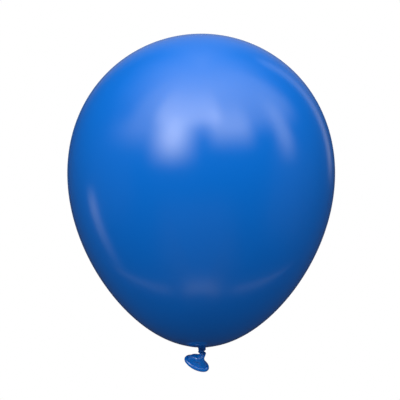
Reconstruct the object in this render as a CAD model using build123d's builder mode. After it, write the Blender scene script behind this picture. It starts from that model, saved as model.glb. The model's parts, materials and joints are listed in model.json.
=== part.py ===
from build123d import *
from math import cos, radians, sin, sqrt
import os

os.makedirs("parts", exist_ok=True)

# An air-filled latex party balloon, tied off with an overhand knot.
# Millimetres, +Z up, origin in the crease of the neck between bulb and knot,
# +X to the right and +Y to the back when the balloon is looked at from the front.

# ---- bulb: an egg, blunt at the crown and fuller above its middle ----
bulb_radius = 149.0         # radius of the plain egg, before its fullness is added
bulb_half_height = 175.7    # centre of the egg to its crown
fullness_linear = 0.1234    # widens the upper half and slims the lower half
fullness_square = -0.0412   # takes a little off both ends
fullness_cube = 0.0062
bulb_offset = 0.95          # the egg hangs this far to the left of the neck
bulb_lift = 1.8             # lowest film of the bulb above the crease
film = 0.4                  # wall drawn for the stretched film

# ---- neck and throat ----
pivot_height = 3.0          # point about which the bulb tips on its neck
neck_radius = 4.05          # gathered neck at its narrowest
neck_head_radius = 4.6      # rounded head of the neck inside the throat
throat_radius = 13.7        # reach of the pleated zone around the neck
throat_edge = 0.3           # half thickness of the pleated zone at its outer edge
throat_lip_angle = 14.0     # how far the pleated lip wraps the neck head, in degrees
throat_waist = 0.75         # half thickness of the pleated zone half way out

shoulder_step = 0.5         # the neck draws in by this much where it enters the knot

# ---- knot ----
knot_top = -1.9
knot_height = 3.7
knot_radius = 4.7
knot_round = 1.3            # rounding of the loop's outer edges
core_radius = 2.2           # strand that runs down through the loop

# ---- tail ----
tail_pivot_depth = 6.8      # centre of the bend below the knot, under the crease
tail_lean = 31.1            # tail axis away from straight down, towards -X, in degrees
tail_back = 26.7            # tail axis turned to the back, in degrees
stem_wall = 0.8             # gathered root of the tail around the end of the core
stem_angle = 42.0           # half angle of that root seen from the bend, in degrees
mouth_distance = 12.4       # bend to the plane of the mouth
mouth_long = 13.0           # half of the mouth, across
mouth_short = 8.6           # half of the mouth, front to back
bell_flare = 1.12           # 1 is a straight cone, more is a trumpet
root_angle = 45.0           # half angle of the bell's narrow end seen from the bend, in degrees
bell_wall = 0.5
bead_radius = 1.9           # rolled bead around the mouth

# ---- fit ----
gap = 0.3                   # between pieces that bend against each other


def egg(angle, inset):
    """Point of the egg's outline at an angle in degrees from the crown, inset from the outside."""
    c = cos(radians(angle))
    s = sin(radians(angle))
    fullness = 1 + fullness_linear * c + fullness_square * c**2 + fullness_cube * c**3
    across = (bulb_radius - inset) * s * fullness
    return (across - bulb_offset, bulb_centre + (bulb_half_height - inset) * c)


def bell_half(along, full):
    """Half width of the bell at a distance from the bend, growing from the root to full."""
    grown = ((along - root_distance) / (mouth_distance - root_distance)) ** bell_flare
    return root_radius + (full - root_radius) * grown


bulb_centre = bulb_lift + bulb_half_height
bulb_axis = Axis((-bulb_offset, 0, 0), (0, 0, 1))
pivot = (0, 0, pivot_height)
throat_bore = neck_head_radius + gap
stem_bore = core_radius + gap
stem_outer = stem_bore + stem_wall
bell_start = stem_outer + gap
root_radius = bell_start * sin(radians(root_angle)) + bell_wall
root_distance = bell_start * cos(radians(root_angle))

tail_z = (
    -sin(radians(tail_lean)) * cos(radians(tail_back)),
    sin(radians(tail_back)),
    -cos(radians(tail_lean)) * cos(radians(tail_back)),
)
tail_x = (cos(radians(tail_lean)), 0, -sin(radians(tail_lean)))
bend = Vector(0, 0, -tail_pivot_depth)
tail = Plane(origin=bend, x_dir=tail_x, z_dir=tail_z)

# ---- inflated bulb: one closed skin with a round hole at the throat ----
crown_to_pole = [0, 20, 40, 60, 80, 100, 120, 140, 160, 180]
level = [(1, 0), (-1, 0)]   # the skin is level at the crown and at the pole
even = [1, 1]
with BuildPart() as inflated_bulb:
    with BuildSketch(Plane.XZ) as skin_outline:
        with BuildLine():
            outside = Spline(*[egg(a, 0) for a in crown_to_pole], tangents=level, tangent_scalars=even)
            inside = Spline(*[egg(a, film) for a in crown_to_pole], tangents=level, tangent_scalars=even)
            Line(outside @ 0, inside @ 0)
            Line(outside @ 1, inside @ 1)
        make_face()
    revolve(axis=bulb_axis)
    # the hole follows a ball about the pivot, so the skin clears the throat at every lean
    with Locations(pivot):
        Sphere(throat_radius + gap, mode=Mode.SUBTRACT)
inflated_bulb.part.label = "inflated_bulb"

# ---- gathered throat: pleated ring between the skin and the neck ----
lip_x = throat_bore * cos(radians(throat_lip_angle))
lip_z = throat_bore * sin(radians(throat_lip_angle))
edge_x = sqrt(throat_radius**2 - throat_edge**2)
half_way = (lip_x + edge_x) / 2
with BuildPart() as gathered_throat:
    with BuildSketch(Plane(origin=pivot, x_dir=(1, 0, 0), z_dir=(0, -1, 0))) as throat_outline:
        with BuildLine():
            bore = ThreePointArc((lip_x, -lip_z), (throat_bore, 0), (lip_x, lip_z))
            top = Spline(bore @ 1, (half_way, throat_waist), (edge_x, throat_edge))
            rim_arc = ThreePointArc(top @ 1, (throat_radius, 0), (edge_x, -throat_edge))
            Spline(rim_arc @ 1, (half_way, -throat_waist), bore @ 0)
        make_face()
    revolve(axis=Axis.Z)
gathered_throat.part.label = "gathered_throat"

# ---- neck strand: rounded head, gathered neck, core through the loop, rounded end ----
head_drop = sqrt(neck_head_radius**2 - neck_radius**2)
shoulder = neck_radius - shoulder_step
with BuildPart() as neck_strand:
    with BuildSketch(Plane.XZ) as strand_outline:
        with BuildLine():
            head_top = (0, pivot_height + neck_head_radius)
            head_side = (neck_head_radius, pivot_height)
            head_foot = (neck_radius, pivot_height - head_drop)
            head = ThreePointArc(head_top, head_side, head_foot)
            neck = Line(head @ 1, (neck_radius, knot_top + shoulder_step))
            taper = Line(neck @ 1, (shoulder, knot_top))
            seat = Line(taper @ 1, (core_radius, knot_top))
            core = Line(seat @ 1, (core_radius, -tail_pivot_depth))
            end_side = core_radius * sqrt(0.5)
            end_middle = (end_side, -tail_pivot_depth - end_side)
            end = ThreePointArc(core @ 1, end_middle, (0, -tail_pivot_depth - core_radius))
            Line(end @ 1, head @ 0)
        make_face()
    revolve(axis=Axis.Z)
neck_strand.part.label = "neck_strand"

# ---- knot loop: the turn of the strand drawn tight around the core ----
with BuildPart() as knot_loop:
    with BuildSketch(Plane.XZ) as loop_outline:
        with Locations(((core_radius + knot_radius) / 2, knot_top - knot_height / 2)):
            Rectangle(knot_radius - core_radius, knot_height)
        fillet(loop_outline.vertices().group_by(Axis.X)[-1], radius=knot_round)
    revolve(axis=Axis.Z)
knot_loop.part.label = "knot_loop"

# ---- tail stem: gathered root of the tail, a cup around the rounded end of the core ----
stem_side = sin(radians(stem_angle))
stem_drop = cos(radians(stem_angle))
half_side = sin(radians(stem_angle / 2))
half_drop = cos(radians(stem_angle / 2))
with BuildPart() as tail_stem:
    with BuildSketch(Plane(origin=bend, x_dir=tail_x, z_dir=tail.y_dir)) as cup_outline:
        with BuildLine():
            cup_in = ThreePointArc(
                (0, -stem_bore),
                (stem_bore * half_side, -stem_bore * half_drop),
                (stem_bore * stem_side, -stem_bore * stem_drop),
            )
            cup_lip = Line(cup_in @ 1, (stem_outer * stem_side, -stem_outer * stem_drop))
            cup_out = ThreePointArc(
                cup_lip @ 1,
                (stem_outer * half_side, -stem_outer * half_drop),
                (0, -stem_outer),
            )
            Line(cup_out @ 1, cup_in @ 0)
        make_face()
    revolve(axis=Axis(bend, tail_z))
tail_stem.part.label = "tail_stem"

# ---- tail bell: flared open end, an oval trumpet of thicker, unstretched latex ----
with BuildSketch(tail.offset(mouth_distance)) as mouth:
    Ellipse(mouth_long, mouth_short)
lip = mouth.sketch.edge()
bell_steps = [0.0, 0.33, 0.67, 1.0]
bell_heights = [root_distance + (mouth_distance - root_distance) * s for s in bell_steps]
with BuildPart() as tail_bell:
    for height in bell_heights:
        with BuildSketch(tail.offset(height)):
            Ellipse(bell_half(height, mouth_long), bell_half(height, mouth_short))
    loft()
    for height in bell_heights:
        with BuildSketch(tail.offset(height)):
            Ellipse(
                bell_half(height, mouth_long) - bell_wall,
                bell_half(height, mouth_short) - bell_wall,
            )
    loft(mode=Mode.SUBTRACT)
    # the lip ends where the bead begins
    with BuildSketch(Plane(origin=lip @ 0, z_dir=lip % 0)):
        Circle(bead_radius)
    sweep(path=lip, mode=Mode.SUBTRACT)
tail_bell.part.label = "tail_bell"

# ---- rolled rim: bead rolled up around the mouth ----
with BuildPart() as rolled_rim:
    with BuildSketch(Plane(origin=lip @ 0, z_dir=lip % 0)):
        Circle(bead_radius)
    sweep(path=lip)
rolled_rim.part.label = "rolled_rim"

export_step(inflated_bulb.part, "parts/inflated_bulb.step")
export_step(gathered_throat.part, "parts/gathered_throat.step")
export_step(neck_strand.part, "parts/neck_strand.step")
export_step(knot_loop.part, "parts/knot_loop.step")
export_step(tail_stem.part, "parts/tail_stem.step")
export_step(tail_bell.part, "parts/tail_bell.step")
export_step(rolled_rim.part, "parts/rolled_rim.step")
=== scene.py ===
# %% [markdown]
# # A party balloon of blue latex
# The object is an air-filled latex balloon, tied off with an overhand knot. It is one dipped skin, so
# everything here is one material in different states: stretched thin over the bulb, pleated at the
# throat, bunched into a strand at the knot, and left unstretched in the tail, which ends in a rolled rim.
# The CAD model gives the places and sizes. This lesson puts a finished skin around it, piece by piece.

# %% Load the frame
import json
import math

import bpy
import numpy as np
from mathutils import Matrix, Vector


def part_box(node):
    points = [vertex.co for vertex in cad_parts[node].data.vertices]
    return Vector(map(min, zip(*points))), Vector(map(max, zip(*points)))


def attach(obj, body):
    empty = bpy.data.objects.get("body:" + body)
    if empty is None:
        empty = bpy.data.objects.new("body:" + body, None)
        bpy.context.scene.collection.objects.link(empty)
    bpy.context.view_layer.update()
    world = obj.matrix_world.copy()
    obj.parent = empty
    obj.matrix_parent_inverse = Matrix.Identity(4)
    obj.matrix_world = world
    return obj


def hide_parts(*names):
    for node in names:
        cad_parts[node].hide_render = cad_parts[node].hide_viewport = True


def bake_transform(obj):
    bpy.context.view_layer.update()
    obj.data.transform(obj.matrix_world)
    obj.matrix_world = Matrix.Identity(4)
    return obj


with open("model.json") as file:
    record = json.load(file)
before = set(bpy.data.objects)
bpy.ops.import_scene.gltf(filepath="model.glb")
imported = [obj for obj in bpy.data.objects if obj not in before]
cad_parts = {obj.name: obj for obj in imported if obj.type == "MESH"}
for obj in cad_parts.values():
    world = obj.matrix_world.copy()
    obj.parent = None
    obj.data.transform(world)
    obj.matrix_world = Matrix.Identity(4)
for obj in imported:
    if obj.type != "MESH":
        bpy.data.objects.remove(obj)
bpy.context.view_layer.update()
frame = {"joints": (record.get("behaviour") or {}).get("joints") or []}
MM = 0.001
pivots = {joint["name"]: np.array(joint["pos_m"]) for joint in frame["joints"]}
neck_pivot = pivots["bulb_sway"]

# %% [markdown]
# ## From numbers to a mesh
# Every piece is a grid: rows run along the piece and columns run around it. A grid could be made by
# hand in edit mode, but a formula keeps the surface smooth and lets one number change the whole shape.
# Each piece is closed, as a real solid is, so its ends get a fan of triangles. The signed volume of a
# closed mesh is positive when its faces look outwards, which is a quick test for the winding.


# %% Grid to mesh
def closed_skin(name, rows, shades=None, ring=False):
    """A mesh from an array of (rows, columns, 3). Columns close on themselves. The ends are capped by
    fans, or the last row joins the first when ring is true. shades: a float attribute for each point."""
    n, m = rows.shape[:2]
    points = rows.reshape(-1, 3)
    i = np.arange(n if ring else n - 1)[:, None]
    j = np.arange(m)[None, :]
    here, right = i * m + j, i * m + (j + 1) % m
    below, below_right = (i + 1) % n * m + j, (i + 1) % n * m + (j + 1) % m
    quads = np.stack([here, right, below_right, below], -1).reshape(-1, 4)
    fans = np.zeros((0, 3), int)
    if not ring:
        points = np.vstack([points, rows[0].mean(0), rows[-1].mean(0)])
        a = np.arange(m)
        b = (a + 1) % m
        top = np.stack([b, a, np.full(m, n * m)], -1)
        bottom = np.stack([a + (n - 1) * m, b + (n - 1) * m, np.full(m, n * m + 1)], -1)
        fans = np.vstack([top, bottom])
    corners = points[quads]
    volume = np.einsum("ij,ij->i", corners[:, 0], np.cross(corners[:, 1], corners[:, 2])).sum()
    volume += np.einsum("ij,ij->i", corners[:, 0], np.cross(corners[:, 2], corners[:, 3])).sum()
    if volume < 0:
        quads, fans = quads[:, ::-1], fans[:, ::-1]
    mesh = bpy.data.meshes.new(name)
    mesh.from_pydata(points.tolist(), [], quads.tolist() + fans.tolist())
    mesh.shade_smooth()
    mesh.set_sharp_from_angle(angle=math.radians(50))
    for key, values in (shades or {}).items():
        full = np.broadcast_to(values, (n, m)).reshape(-1)
        if not ring:
            full = np.concatenate([full, [full[:m].mean(), full[-m:].mean()]])
        layer = mesh.attributes.new(key, "FLOAT", "POINT")
        layer.data.foreach_set("value", full.astype(np.float32))
    piece = bpy.data.objects.new(name, mesh)
    bpy.context.scene.collection.objects.link(piece)
    print(f"{name}: {len(mesh.polygons)} faces, box {np.ptp(points, axis=0).round(4)} m")
    return piece


def smooth_step(x):
    """0 below 0, 1 above 1, and an S between them."""
    x = np.clip(x, 0, 1)
    return x * x * (3 - 2 * x)


# %% [markdown]
# ## Shader maths you can read
# A material is a small program. Drawn as nodes it is hard to read, so a socket is wrapped in a class
# whose operators add the Math nodes. `1 - mask` then means what it says. All other nodes come from one
# method that takes the node's type, its settings and its inputs.


# %% Sockets as values
class Wire:
    """One output socket. Sums on it add Math nodes to its tree."""

    def __init__(self, recipe, socket):
        self.recipe = recipe
        self.socket = socket

    def math(self, operation, first, second):
        made = self.recipe.node("ShaderNodeMath", {"operation": operation}, {0: first, 1: second})
        return Wire(self.recipe, made.outputs[0])

    def __add__(self, other):
        return self.math("ADD", self, other)

    def __mul__(self, other):
        return self.math("MULTIPLY", self, other)

    def __sub__(self, other):
        return self.math("SUBTRACT", self, other)

    def __rsub__(self, other):
        return self.math("SUBTRACT", other, self)

    __radd__ = __add__
    __rmul__ = __mul__


class Recipe:
    """A material or a world being written: its node tree, and the Principled shader at its end."""

    def __init__(self, owner):
        owner.use_nodes = True
        self.owner = owner
        self.tree = owner.node_tree
        self.shader = self.tree.nodes.get("Principled BSDF")

    def node(self, kind, settings=None, inputs=None):
        made = self.tree.nodes.new(kind)
        for key, value in (settings or {}).items():
            setattr(made, key, value)
        for key, value in (inputs or {}).items():
            self.feed(made.inputs[key], value)
        return made

    def feed(self, socket, value):
        if isinstance(value, Wire):
            self.tree.links.new(value.socket, socket)
        else:
            socket.default_value = value

    def output(self, made, key=0):
        return Wire(self, made.outputs[key])

    def mix(self, factor, a, b):
        """A colour that goes from a to b as factor goes from 0 to 1."""
        made = self.node("ShaderNodeMix", {"data_type": "RGBA"}, {0: factor, 6: a, 7: b})
        return self.output(made, 2)

    def attribute(self, name):
        return self.output(self.node("ShaderNodeAttribute", {"attribute_name": name}), "Fac")

    def noise(self, scale, stretch=(1, 1, 1), detail=3.0):
        """Noise on the piece's own place, in blobs 1/scale metres wide, squeezed along each axis."""
        place = self.output(self.node("ShaderNodeTexCoord"), "Object")
        mapping = self.node("ShaderNodeMapping", None, {"Vector": place, "Scale": stretch})
        vector = self.output(mapping)
        made = self.node("ShaderNodeTexNoise", None, {"Vector": vector, "Scale": scale, "Detail": detail})
        return self.output(made, "Fac")


# %% [markdown]
# ## The latex
# Pigmented latex is a plain saturated colour under a smooth skin. Where the balloon is blown up the film
# is thin, so light gets into it and the colour is bright. Where it is bunched or unstretched it is
# thicker; where it is bunched the colour is deeper. The tail is painted a lighter blue instead: painted
# light, which makes it look more brightly lit. The skin is never a perfect mirror: faint flow marks from
# the dipping, a breath of talc and fine grain soften the highlights. An attribute on each mesh says how
# much latex there is, and on the tail how much of the painted lighter blue it gets, so one recipe serves
# every piece.


# %% Latex recipe
def latex(name, thin, deep_and_painted_light, gloss, coat, grain_size, grain_depth, flow):
    """Blue latex. thin: colour of thin film. The next colour is that of the thicker film: deeper on the
    bulb's pieces, and on the tail a lighter blue, which is painted light. gloss: roughness of the clean
    skin.
    coat: share of the wet shine over it. grain_size and grain_depth: the fine unevenness, in metres.
    flow: how much the dipping marks are squeezed along each axis."""
    r = Recipe(bpy.data.materials.new(name))
    thickness_and_painted_light = r.attribute("thickness_and_painted_light")
    clouds = r.noise(22.0, flow, 4.0)
    talc = r.noise(160.0, (1, 1, 1), 5.0)
    grain = r.noise(1 / grain_size, (1, 1, 1), 4.0)
    # On the tail this mix goes towards a lighter blue: painted light that brightens it.
    depth = thickness_and_painted_light + (clouds - 0.5) * 0.22
    r.feed(r.shader.inputs["Base Color"], r.mix(depth, thin, deep_and_painted_light))
    dull = (clouds - 0.5) * 0.05 + (talc - 0.5) * 0.06 + thickness_and_painted_light * 0.04 + gloss
    r.feed(r.shader.inputs["Roughness"], dull)
    height = grain * 0.6 + talc * 0.4
    bump = r.node("ShaderNodeBump", None, {"Strength": 0.6, "Distance": grain_depth, "Height": height})
    r.feed(r.shader.inputs["Normal"], r.output(bump))
    r.shader.inputs["IOR"].default_value = 1.52
    r.shader.inputs["Coat Weight"].default_value = coat
    r.shader.inputs["Coat Roughness"].default_value = 0.06
    return r.owner


film_blue = (0.0006, 0.135, 0.59, 1)
deep_blue = (0.001, 0.088, 0.40, 1)
# The tail's second blue is lighter than the film's: painted light that makes the tail and its rim look more
# brightly lit.
painted_light_tail_blue = (0.001, 0.165, 0.68, 1)
film_latex = latex("stretched_latex_film", film_blue, deep_blue, 0.19, 0.25, 0.0011, 0.00002, (1, 1, 0.25))
thick_latex = latex("bunched_latex", film_blue, deep_blue, 0.20, 0.40, 0.0006, 0.00008, (3, 3, 1))
# The tail's material mixes in that lighter blue: painted light.
tail_latex_painted_light = latex("unstretched_latex_painted_light", film_blue, painted_light_tail_blue, 0.20, 0.85, 0.0006, 0.00006, (3, 3, 3))

# %% [markdown]
# ## The bulb
# Air pressure pulls the film into an egg: blunt at the crown, fuller above its middle, and level where
# the neck leaves it. A ball would be a poor start, and sculpting never gives a skin this clean, so the
# outline is an ellipse whose width swells with a cubic of the cosine of the angle from the crown. The
# width and the height come from the CAD bulb, so the two agree wherever it is measured.

# %% Egg outline
low, high = (np.array(corner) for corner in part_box("inflated_bulb"))
bulb_axis = (low + high)[:2] / 2
swell = np.array([1.0, 0.1234, -0.0412, 0.0062])
pole_height = neck_pivot[2] - 1.2 * MM
half_height = (high[2] - pole_height) / 2
sample = np.linspace(0, math.pi, 721)
egg_radius = (high - low)[0] / 2 / (np.sin(sample) * np.polyval(swell[::-1], np.cos(sample))).max()


def egg(turn, inset=0.0):
    """Radius and height of the egg at an angle from the crown: an ellipse times a cubic in the cosine."""
    across = (egg_radius - inset) * np.sin(turn) * np.polyval(swell[::-1], np.cos(turn))
    return across, pole_height + half_height + (half_height - inset) * np.cos(turn)


print(f"egg: radius {egg_radius:.4f} m before swelling, half height {half_height:.4f} m")


# %% [markdown]
# ## Pleats
# The neck of the balloon is a tube far wider than the knot, so the film around it folds into pleats that
# run out over the bulb and fade. Three waves of different counts keep them from looking like a gear.


# %% Pleats of the film
def pleats(radius, around):
    """Height of the pleats: waves around the neck, strongest a few millimetres out, gone by 30 mm."""
    waves = np.sin(19 * around + 1.1 * np.sin(2 * around)) + 0.6 * np.sin(31 * around + 2.0)
    waves = waves + 0.45 * np.sin(11 * around - 0.7)
    reach = np.exp(-(((radius - 5 * MM) / (9 * MM)) ** 2))
    return 0.28 * MM * reach * (waves - 0.9)


# %% [markdown]
# The film is built as one closed profile: down the outside from the crown to the edge of the throat, and
# back up the inside.

# %% Bulb film
throat_low, throat_high = (np.array(corner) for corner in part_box("gathered_throat"))
throat_reach = (throat_high - throat_low)[0] / 2 + 0.3 * MM
around = np.linspace(0, 2 * math.pi, 288, endpoint=False)[None, :]
lower_turns = np.linspace(0.004, math.pi, 4001)[2000:]
edge_turn = np.interp(-throat_reach, -egg(lower_turns)[0], lower_turns)
outer_turn = edge_turn * np.linspace(0.006, 1, 250) ** 0.9
inner_turn = outer_turn[::-6]
film_wall = 0.25 * MM
out_r, out_z = egg(outer_turn[:, None])
in_r, in_z = egg(inner_turn[:, None], film_wall)
film_r = np.vstack([out_r, in_r]) + 0 * around
film_z = np.vstack([out_z - pleats(out_r, around) * (out_z < half_height), in_z + 0 * around])
film_rows = np.stack(
    [bulb_axis[0] + film_r * np.cos(around), bulb_axis[1] + film_r * np.sin(around), film_z], -1
)
crown_patch = np.exp(-((film_r / (9 * MM)) ** 2)) * (film_z > half_height)
throat_patch = np.exp(-film_r / (26 * MM)) * (film_z < half_height)
bulb_film = closed_skin("bulb_film", film_rows, {"thickness_and_painted_light": 0.35 * crown_patch + 0.8 * throat_patch})
bulb_film.data.materials.append(film_latex)
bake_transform(bulb_film)
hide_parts("inflated_bulb")

# %% [markdown]
# ## The throat
# From the edge of the bulb film the skin runs in, turns down in a small round and becomes the neck. The
# round is wider on the left than on the right, because the balloon sits slightly askew on its knot.
# The pleats carry on down the neck as grooves.


# %% Throat skin
neck_radius = 4.05 * MM
neck_end = -0.5 * MM


def bulb_underside(radius):
    """Height of the egg's underside at a radius."""
    underside_radius, underside_height = egg(lower_turns)
    return np.interp(-radius, -underside_radius, underside_height)


def throat_surface(along, around, inset=0.0):
    """In from the bulb's edge, round the bend and down the neck, as along goes from 0 to 1."""
    bend = (1.3 - 0.6 * np.cos(around)) * MM
    inner = neck_radius + bend
    flat = np.clip(along / 0.5, 0, 1)
    turn = np.clip((along - 0.5) / 0.3, 0, 1) * math.pi / 2
    down = np.clip((along - 0.8) / 0.2, 0, 1)
    radius = np.where(along < 0.5, throat_reach + (inner - throat_reach) * flat, inner - bend * np.sin(turn))
    top = bulb_underside(inner)
    bent = top - bend * (1 - np.cos(turn))
    height = np.where(along < 0.5, bulb_underside(radius), bent + (neck_end - bent) * down)
    fold = pleats(radius, around)
    outwards = np.clip((along - 0.45) / 0.3, 0, 1)
    radius = radius + fold * outwards - inset * outwards
    height = height - fold * (1 - outwards) + inset * (1 - outwards)
    centre = bulb_axis[0] * (1 - smooth_step(along / 0.6))
    return np.stack([centre + radius * np.cos(around), radius * np.sin(around), height], -1)


along = np.linspace(0, 1, 90)[:, None]
throat_wall = 0.3 * MM
throat_rows = np.vstack([throat_surface(along, around), throat_surface(along[::-3], around, throat_wall)])
throat_shade = {"thickness_and_painted_light": 0.45 + 0.5 * np.vstack([along, along[::-3]])}
throat_skin = closed_skin("gathered_throat_skin", throat_rows, throat_shade, ring=True)
throat_skin.data.materials.append(thick_latex)
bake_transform(throat_skin)
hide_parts("gathered_throat")


# %% [markdown]
# ## The neck
# Below the crease the pleated film is twisted into a stub that dives into the knot. It is a lathe shape
# whose radius carries the same waves, turned a little with depth, which reads as twist.

# %% Neck stub
depth = np.linspace(0, 1, 60)[:, None]
stub_end = -3.7 * MM
stub_z = neck_end + 0.02 * MM + (stub_end - neck_end) * depth
squeeze = 1 - 0.55 * smooth_step((depth - 0.12) / 0.75)
stub_fold = pleats(neck_radius, around + 0.55 * smooth_step(depth)) * (1 + 0.6 * depth)
stub_r = neck_radius * squeeze + stub_fold * np.minimum(1, 1.6 - depth)
stub_rows = np.stack([stub_r * np.cos(around), stub_r * np.sin(around), stub_z + 0 * around], -1)
neck_stub = closed_skin("neck_stub", stub_rows, {"thickness_and_painted_light": 0.95 + 0 * depth})
neck_stub.data.materials.append(thick_latex)
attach(neck_stub, "knot")
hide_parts("neck_strand")

# %% [markdown]
# ## The overhand knot
# An overhand knot is an open trefoil. It is tied loosely by a polynomial, then pulled tight the way a
# hand does it: each step shortens the strand, and pushes apart any two stretches of it that are nearer
# than the strand is thick. A curve drawn by hand would pass through itself somewhere.


# %% Tie and tighten
def even_spacing(path):
    """The same line with its points at equal distances."""
    run = np.concatenate([[0], np.cumsum(np.linalg.norm(np.diff(path, axis=0), axis=1))])
    want = np.linspace(0, run[-1], len(path))
    return np.stack([np.interp(want, run, path[:, k]) for k in range(3)], 1), run[-1]


def tied(top, bottom, thickness, points=130, steps=320):
    """An open trefoil, x = t cubed - 3t, y = t to the 4th - 4t squared, z = t to the 5th - 10t,
    tightened between two ends in millimetres."""
    t = np.linspace(-2.12, 2.12, points)
    path = np.stack([1.75 * (t**3 - 3 * t), 1.35 * (t**4 - 4 * t * t + 2), 0.22 * (10 * t - t**5)], 1)
    path[:, 2] += (top[2] + bottom[2]) / 2
    path = path if path[0, 2] > path[-1, 2] else path[::-1].copy()
    for _ in range(steps):
        path[0] += 0.06 * (top - path[0])
        path[-1] += 0.06 * (bottom - path[-1])
        path[1:-1] += 0.3 * (path[2:] + path[:-2] - 2 * path[1:-1])
        run = np.concatenate([[0], np.cumsum(np.linalg.norm(np.diff(path, axis=0), axis=1))])
        far = np.abs(run[:, None] - run[None]) > 1.75 * thickness
        for _ in range(3):
            apart = path[:, None] - path[None]
            distance = np.linalg.norm(apart, axis=2) + 1e-9
            push = np.where(far & (distance < thickness), (thickness - distance) / distance, 0)
            count = np.maximum(1, (push > 0).sum(1))
            path = path + 0.5 * (push[..., None] * apart).sum(1) / count[:, None]
        path, length = even_spacing(path)
    return path, length


strand_radius = 1.30
knot_squeeze = 0.84
knot_top = np.array([0.2, 0.0, -1.2])
knot_bottom = np.array([0.3, 0.2, -6.9])
strand, strand_length = tied(knot_top, knot_bottom, 2 * strand_radius)
strand[:, 0] = knot_top[0] + knot_squeeze * (strand[:, 0] - knot_top[0])
print(f"knot: {strand_length:.1f} mm of strand, box {np.ptp(strand, axis=0).round(2)} mm")

# %% [markdown]
# A round section carried along a path needs a direction across the path at each point. Turning the last
# direction by as little as each new point needs keeps the section from twisting, and then a twist is
# added on purpose, so that the folds of the bunched film wind around the strand.


# %% Strand along a path
def tube(path, radius, folds, wind, columns=56):
    """A section carried along a path in metres: radius times one plus small waves that wind around."""
    tangent = np.gradient(path, axis=0)
    tangent /= np.linalg.norm(tangent, axis=1)[:, None]
    across = np.zeros_like(path)
    across[0] = np.cross(tangent[0], (0.3, 0.9, 0.1))
    for k in range(1, len(path)):
        across[k] = across[k - 1] - (across[k - 1] @ tangent[k]) * tangent[k]
        across[k] /= np.linalg.norm(across[k])
    across[0] /= np.linalg.norm(across[0])
    other = np.cross(tangent, across)
    round_ = np.linspace(0, 2 * math.pi, columns, endpoint=False)[None, :]
    run = np.linspace(0, 1, len(path))[:, None]
    wave = np.sin(folds * round_ + wind * run) + 0.5 * np.sin((folds + 3) * round_ - wind * run)
    r = (radius * np.ones((len(path), 1))) * (1 + 0.035 * wave)
    return (
        path[:, None]
        + (r * np.cos(round_))[..., None] * across[:, None]
        + (r * np.sin(round_))[..., None] * other[:, None]
    )


def refined(path, points):
    """More points on the same line, each one then averaged with its neighbours to round the corners."""
    old, new = np.linspace(0, 1, len(path)), np.linspace(0, 1, points)
    fine = np.stack([np.interp(new, old, path[:, k]) for k in range(3)], 1)
    kernel = np.hanning(9) / np.hanning(9).sum()
    middle = np.stack([np.convolve(fine[:, k], kernel, "valid") for k in range(3)], 1)
    return np.vstack([fine[:4], middle, fine[-4:]])


knot_path = refined(strand, 320) * MM
overhand_knot = closed_skin("overhand_knot", tube(knot_path, strand_radius * MM, 6, 14.0), {"thickness_and_painted_light": 0.85})
overhand_knot.data.materials.append(thick_latex)
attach(overhand_knot, "knot")
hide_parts("knot_loop")

# %% [markdown]
# ## The tail
# Past the knot the balloon was never blown up, so the latex is thick and springy and keeps the shape of
# the former it was dipped on: a short tube that flares to a mouth. Squeezed by the knot, it opens
# like a lopsided bell. On the left it bulges straight out from under the knot, on the right it hangs
# down and flares late. One formula gives both: the bell grows as a power of the way along it, and the
# power changes around it.


# %% Frame of the tail
rim_low, rim_high = (np.array(corner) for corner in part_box("rolled_rim"))
mouth_centre = (rim_low + rim_high) / 2
mouth_roll, mouth_turn = math.radians(-26.3), math.radians(38.0)
mouth_across = np.array([math.cos(mouth_roll), 0, math.sin(mouth_roll)])
mouth_down = np.array([math.sin(mouth_roll), 0, -math.cos(mouth_roll)])
mouth_out = math.cos(mouth_turn) * mouth_down + math.sin(mouth_turn) * np.array([0, 1.0, 0])
root = np.array([0.1, 0.0, -6.2]) * MM
half_long, half_short, root_radius, bead = 13.1 * MM, 8.7 * MM, 3.7 * MM, 1.95 * MM


def spine(way):
    """A cubic curve from the knot, straight down at first, to the mouth, square to it at the end."""
    way = np.asarray(way, float)[:, None]
    points = [root, root - [0, 0, 2.1 * MM], mouth_centre - 9.0 * MM * mouth_out, mouth_centre]
    shares = [(1 - way) ** 3, 3 * (1 - way) ** 2 * way, 3 * (1 - way) * way**2, way**3]
    return sum(share * point for share, point in zip(shares, points))


def bell_surface(way, around, inset=0.0):
    """Ovals square to the spine. Their size grows as way to a power: 1.1 on the left, 2.1 on the right."""
    centre = spine(way)
    step = 1e-4
    heading = spine(way + step) - spine(way - step)
    heading /= np.linalg.norm(heading, axis=1)[:, None]
    across = mouth_across - (heading @ mouth_across)[:, None] * heading
    across /= np.linalg.norm(across, axis=1)[:, None]
    front = np.cross(heading, across)
    power = 1.60 + 0.50 * np.cos(around)
    grown = np.clip(way, 0, 1)[:, None] ** power
    shape = bell_folds(way[:, None], around)
    long_half = root_radius + (half_long - root_radius) * grown + shape - inset
    short_half = 0.9 * root_radius + (half_short - 0.9 * root_radius) * grown + shape - inset
    return (
        centre[:, None]
        + (long_half * np.cos(around))[..., None] * across[:, None]
        + (short_half * np.sin(around))[..., None] * front[:, None]
    )


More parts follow.
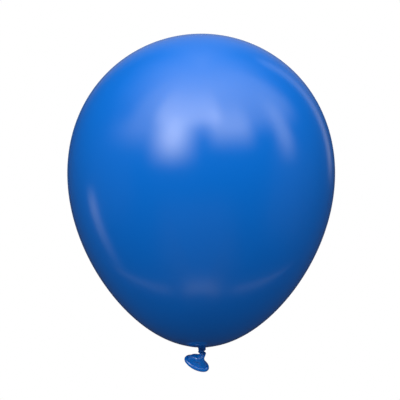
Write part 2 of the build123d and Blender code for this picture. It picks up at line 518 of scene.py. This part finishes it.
def bell_folds(way, around):
    """Folds of the squeezed root. Fine waves die out towards the mouth. In front a fat roll lies across
    the bell with a crease under it, the right side is drawn in at the waist, and the left shoulder
    slopes. Each is a bell curve of way times a bell curve of around."""
    waves = np.sin(7 * around + 2 * way) + 0.6 * np.sin(12 * around - 1.0)
    waves = 0.16 * MM * waves * np.exp(-((way / 0.45) ** 2))
    roll = np.exp(-(((way - 0.60) / 0.16) ** 2)) * np.exp(-(((around - 1.74) / 0.62) ** 2))
    crease = np.exp(-(((way - 0.82) / 0.07) ** 2)) * np.exp(-(((around - 1.76) / 0.60) ** 2))
    tuck = np.exp(-(((around - 1.45 - 0.5 * way) / 0.13) ** 2)) * np.exp(-(((way - 0.30) / 0.16) ** 2))
    shoulder = np.exp(-(((way - 0.34) / 0.26) ** 2)) * np.exp((np.cos(around - 3.8) - 1) / 0.7)
    waist = np.exp(-(((way - 0.34) / 0.22) ** 2)) * np.exp((np.cos(around) - 1) / 0.22)
    wobble = 0.5 * MM * np.sin(3 * around + 0.6) * smooth_step(way) * (1 - way)
    folds = 1.20 * roll - 0.60 * crease - 0.6 * tuck - 0.8 * waist - 2.2 * shoulder
    return waves + folds * MM + wobble


# %% [markdown]
# The bell is open, so the inside shows from below and behind. Its wall is drawn at the thickness that
# unstretched latex has: down the outside, over the lip and up the inside, closed by a small floor where
# the strand fills it. A low dome closes the narrow end under the knot.

# %% Bell
bell_round = np.linspace(0, 2 * math.pi, 168, endpoint=False)[None, :]
bell_way = np.linspace(0, 1, 120) ** 0.9
inside_way = bell_way[::-2][:-6]
bell_wall = 0.5 * MM
outside_rows = bell_surface(bell_way, bell_round)
inside_rows = bell_surface(inside_way, bell_round, bell_wall)
cap_steps = 10
cap_height = np.array([0, 0, 2.2 * MM])
cap_edge = outside_rows[:1]
cap_middle = cap_edge.mean(1, keepdims=True)
cap_turn = np.linspace(0.12, 0.96, cap_steps)[:, None, None] * math.pi / 2
cap_rows = cap_middle + (cap_edge - cap_middle) * np.sin(cap_turn) + cap_height * np.cos(cap_turn)
bell_rows = np.vstack([cap_rows, outside_rows, inside_rows])
# How much of the tail's lighter blue, painted light, the bell gets: all of it at the knot end, less towards
# the lip.
bell_thickness_and_painted_light = np.concatenate([np.ones(cap_steps), 1 - 0.55 * bell_way, 1 - 0.45 * inside_way])[:, None]
tail_bell = closed_skin("tail_bell_skin", bell_rows, {"thickness_and_painted_light": bell_thickness_and_painted_light})
tail_bell.data.materials.append(tail_latex_painted_light)
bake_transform(tail_bell)
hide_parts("tail_bell")

# %% [markdown]
# ## The stem
# Between the knot and the bell the strand is short and hidden from most sides, but it is what bends when
# the tail swings. It runs out of the knot and swells into the bell.

# %% Stem
stem_way = np.linspace(0, 1, 70)
rows_inside_knot = 18
stem_top = knot_path[-rows_inside_knot]
stem_end = spine([0.34])[0]
stem_middle = np.array([stem_top[0], stem_top[1], (stem_top[2] + stem_end[2]) / 2])
w = stem_way[:, None]
stem_path = (1 - w) ** 2 * stem_top + 2 * w * (1 - w) * stem_middle + w**2 * stem_end
stem_radius = (1.15 + 1.3 * smooth_step(stem_way)[:, None]) * MM
tail_stem = closed_skin("tail_strand", tube(stem_path, stem_radius, 7, 5.0), {"thickness_and_painted_light": 0.9})
tail_stem.data.materials.append(thick_latex)
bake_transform(tail_stem)
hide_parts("tail_stem")

# %% [markdown]
# ## The rolled rim
# The mouth ends in a bead: the wet latex is rolled up on its former, so the bead is a spiral that reads
# as a fat ring with a fine line where the roll ends. It is an oval section carried along the lip of the
# bell, a little thicker in places. Its flat side leans back towards the bell, as a flared lip does.

# %% Rolled rim
place = np.linspace(0, 2 * math.pi, 240, endpoint=False)[:, None]
lip = bell_surface(np.array([1.0]), place.T)[0]
lip_middle = lip.mean(0)
lip_heading = np.roll(lip, -1, axis=0) - np.roll(lip, 1, axis=0)
lip_heading /= np.linalg.norm(lip_heading, axis=1)[:, None]
outwards = lip - lip_middle
outwards -= np.einsum("ij,ij->i", outwards, lip_heading)[:, None] * lip_heading
outwards /= np.linalg.norm(outwards, axis=1)[:, None]
flare = math.radians(35)
flat_way = math.cos(flare) * outwards - math.sin(flare) * mouth_out
long_way = math.sin(flare) * outwards + math.cos(flare) * mouth_out
section = np.linspace(0, 2 * math.pi, 44, endpoint=False)[None, :]
roll_line = np.exp(-(((section - 2.4 - 0.15 * np.sin(2 * place)) / 0.16) ** 2))
uneven = 1 + 0.035 * np.sin(2 * place + 0.8) + 0.02 * np.sin(5 * place) - 0.07 * roll_line
bead_rows = (
    lip[:, None]
    + (0.80 * bead * uneven * np.cos(section))[..., None] * flat_way[:, None]
    + (1.18 * bead * uneven * np.sin(section))[..., None] * long_way[:, None]
)
# The bead takes the tail's lighter blue at a weight of 0.7: painted light.
rolled_rim = closed_skin("rolled_rim_bead", bead_rows, {"thickness_and_painted_light": 0.7 + 0 * section}, ring=True)
rolled_rim.data.materials.append(tail_latex_painted_light)
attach(rolled_rim, "tail")
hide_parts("rolled_rim")

# %% [markdown]
# ## Camera
# The balloon is seen straight from the side at the height of its middle, through a long lens, so its
# outline is hardly changed by perspective.

# %% Camera
view_width = 448.8 * MM
distance = 2.4
sensor_width = 36
camera_data = bpy.data.cameras.new("camera")
camera_data.sensor_width = sensor_width
camera_data.lens = sensor_width * distance / view_width
camera = bpy.data.objects.new("camera", camera_data)
camera.location = (bulb_axis[0] - 1.34 * MM, -distance, 167.0 * MM)
camera.rotation_euler = (math.pi / 2, 0, 0)
bpy.context.scene.collection.objects.link(camera)
bpy.context.scene.camera = camera
bpy.context.scene.view_settings.view_transform = "Standard"

# %% [markdown]
# ## Studio
# A smooth skin shows its surroundings, so the light is drawn as what the balloon sees: a dim room, a
# broad bright ceiling, and three windows that hang down from it. Area lamps would have hard edges, while
# a real bank of soft boxes fades out, so each light is a patch of the world whose sides are S-curves
# in two angles: the azimuth, 0 towards the camera and positive to the right, and the elevation.

# %% Directions of the room
world = Recipe(bpy.data.worlds.new("studio"))
bpy.context.scene.world = world.owner
looking = world.output(world.node("ShaderNodeTexCoord"), "Generated")
parts = world.node("ShaderNodeSeparateXYZ", None, {0: looking})
east, north, up = (world.output(parts, k) for k in range(3))
to_degrees = 180 / math.pi
azimuth = east.math("ARCTAN2", east, north * -1) * to_degrees
elevation = up.math("ARCSINE", up, 0) * to_degrees


def rise(value, low, high):
    """0 below low, 1 above high, and an S between them."""
    settings = {"interpolation_type": "SMOOTHSTEP"}
    made = world.node("ShaderNodeMapRange", settings, {"Value": value, "From Min": low, "From Max": high})
    return world.output(made)


def patch(strength, left, right, bottom, top, side=14, foot=14, head=14):
    """A soft patch of light between two azimuths and two elevations. side, foot and head: widths of its
    soft edges in degrees, half outside and half inside."""
    light = rise(azimuth, left - side / 2, left + side / 2)
    light = light * (1 - rise(azimuth, right - side / 2, right + side / 2))
    light = light * rise(elevation, bottom - foot / 2, bottom + foot / 2)
    return light * (1 - rise(elevation, top - head / 2, top + head / 2)) * strength


# %% What the balloon sees
room = rise(north * -1, -0.9, 0.5) * 0.004 + 0.036
dome = rise(elevation, 21, 80) * rise(north * -1 + up * 0.20, -0.53, 1.37) * 3.49
ceiling_glow = patch(3.09, -48, 20, 37, 54, 14, 14, 40)
crown_glow = patch(0.99, -74, 107, 30, 61, 24, 17, 56)
left_window = patch(7.81, -36, -15, 13, 37, 34, 26, 18)
middle_window = patch(2.42, 9, 47, 22, 42, 16, 20, 32)
right_window = patch(3.60, 76, 85, 14, 35, 22, 24, 42)
left_wall = patch(3.54, -78, -41, 30, 29, 54, 42, 18)
back_strip = patch(0.37, 140, 150, 1, 46, 8, 8, 5)
left_strip = patch(1.12, -115, -105, -20, -8, 8, 45, 10)
back_band = rise(azimuth.math("ABSOLUTE", azimuth, 0), 145, 175) * rise(elevation, 8, 16) * 0.22
low_glow = patch(3.80, -40, 43, -74, -83, 58, 8, 48)

# %% [markdown]
# The far edge of the table under the balloon shows as one thin bright arc low on the skin. A line on a
# table is easy in the table's own plane: a direction that looks down, divided by how much it does, is a
# place on it. There the edge is a shallow parabola, and the arc is where a place is close to it.

# %% Edge of the table
downwards = (up * -1).math("MAXIMUM", up * -1, 0.05)
table_x = east.math("DIVIDE", east, downwards)
table_y = north.math("DIVIDE", north, downwards)
past_edge = table_y + 0.27 - table_x * table_x * 0.55
off_edge = past_edge.math("ABSOLUTE", past_edge, 0)
aside = table_x.math("ABSOLUTE", table_x, 0)
table_edge = (1 - rise(off_edge, 0.0, 0.12)) * rise(aside, 0.25, 0.6) * (1 - rise(aside, 0.9, 1.7)) * 0.4
seen_light = room + dome + left_window + middle_window + right_window + ceiling_glow + crown_glow
seen_light = seen_light + left_wall + back_band + back_strip + left_strip + low_glow + table_edge

warm_white = (1.0, 0.98, 0.94, 1)
reflected = world.node("ShaderNodeBackground", None, {"Color": warm_white, "Strength": seen_light})
backdrop = world.tree.nodes["Background"]
backdrop.inputs["Color"].default_value = (1, 1, 1, 1)
camera_ray = world.output(world.node("ShaderNodeLightPath"), "Is Camera Ray")
split = world.node("ShaderNodeMixShader", None, {0: camera_ray})
world.feed(split.inputs[1], world.output(reflected))
world.feed(split.inputs[2], world.output(backdrop))
world.feed(world.tree.nodes["World Output"].inputs["Surface"], world.output(split))

# %% [markdown]
# A pale floor lies well below, so that nothing touches the balloon. Light that a floor and walls
# would throw back comes from wide fill lamps that are kept out of the reflections.

# %% Floor and fill
floor_height = -0.42
floor_radius = 2.8
floor_sides = 96
floor_angle = np.linspace(0, 2 * math.pi, floor_sides, endpoint=False)
floor_points = floor_radius * np.stack([np.cos(floor_angle), np.sin(floor_angle), 0 * floor_angle], 1)
floor_mesh = bpy.data.meshes.new("floor")
floor_mesh.from_pydata((floor_points + [0, 0, floor_height]).tolist(), [], [list(range(floor_sides))])
floor = bpy.data.objects.new("floor", floor_mesh)
bpy.context.scene.collection.objects.link(floor)
floor_paint = Recipe(bpy.data.materials.new("pale_floor"))
floor_paint.shader.inputs["Base Color"].default_value = (0.86, 0.86, 0.86, 1)
floor_paint.shader.inputs["Roughness"].default_value = 0.9
floor_mesh.materials.append(floor_paint.owner)
floor.visible_diffuse = False
floor.visible_glossy = False
floor.visible_shadow = False


def fill_lamp(name, azimuth, elevation, size, brightness, away=1.8):
    """A square lamp that lights the skin but isn't mirrored in it, seen from the bulb in a direction."""
    a, e = math.radians(azimuth), math.radians(elevation)
    out = Vector((math.sin(a) * math.cos(e), -math.cos(a) * math.cos(e), math.sin(e)))
    light = bpy.data.lights.new(name, "AREA")
    light.size = size
    light.energy = brightness * math.pi * size * size
    lamp = bpy.data.objects.new(name, light)
    middle = Vector((0, 0, float(pole_height + half_height)))
    place = Matrix.Translation(middle + away * out)
    lamp.matrix_world = place @ out.to_track_quat("Z", "Y").to_matrix().to_4x4()
    lamp.visible_glossy = False
    lamp.visible_camera = False
    bpy.context.scene.collection.objects.link(lamp)


fill_lamp("fill_below", -5, -45, 2.0, 0.7)
fill_lamp("fill_left", -85, 5, 1.6, 0.75)
fill_lamp("fill_right", 85, -5, 1.6, 0.85)
fill_lamp("fill_back", 180, 15, 2.0, 0.7)
fill_lamp("fill_top", 180, 55, 2.0, 2.2)
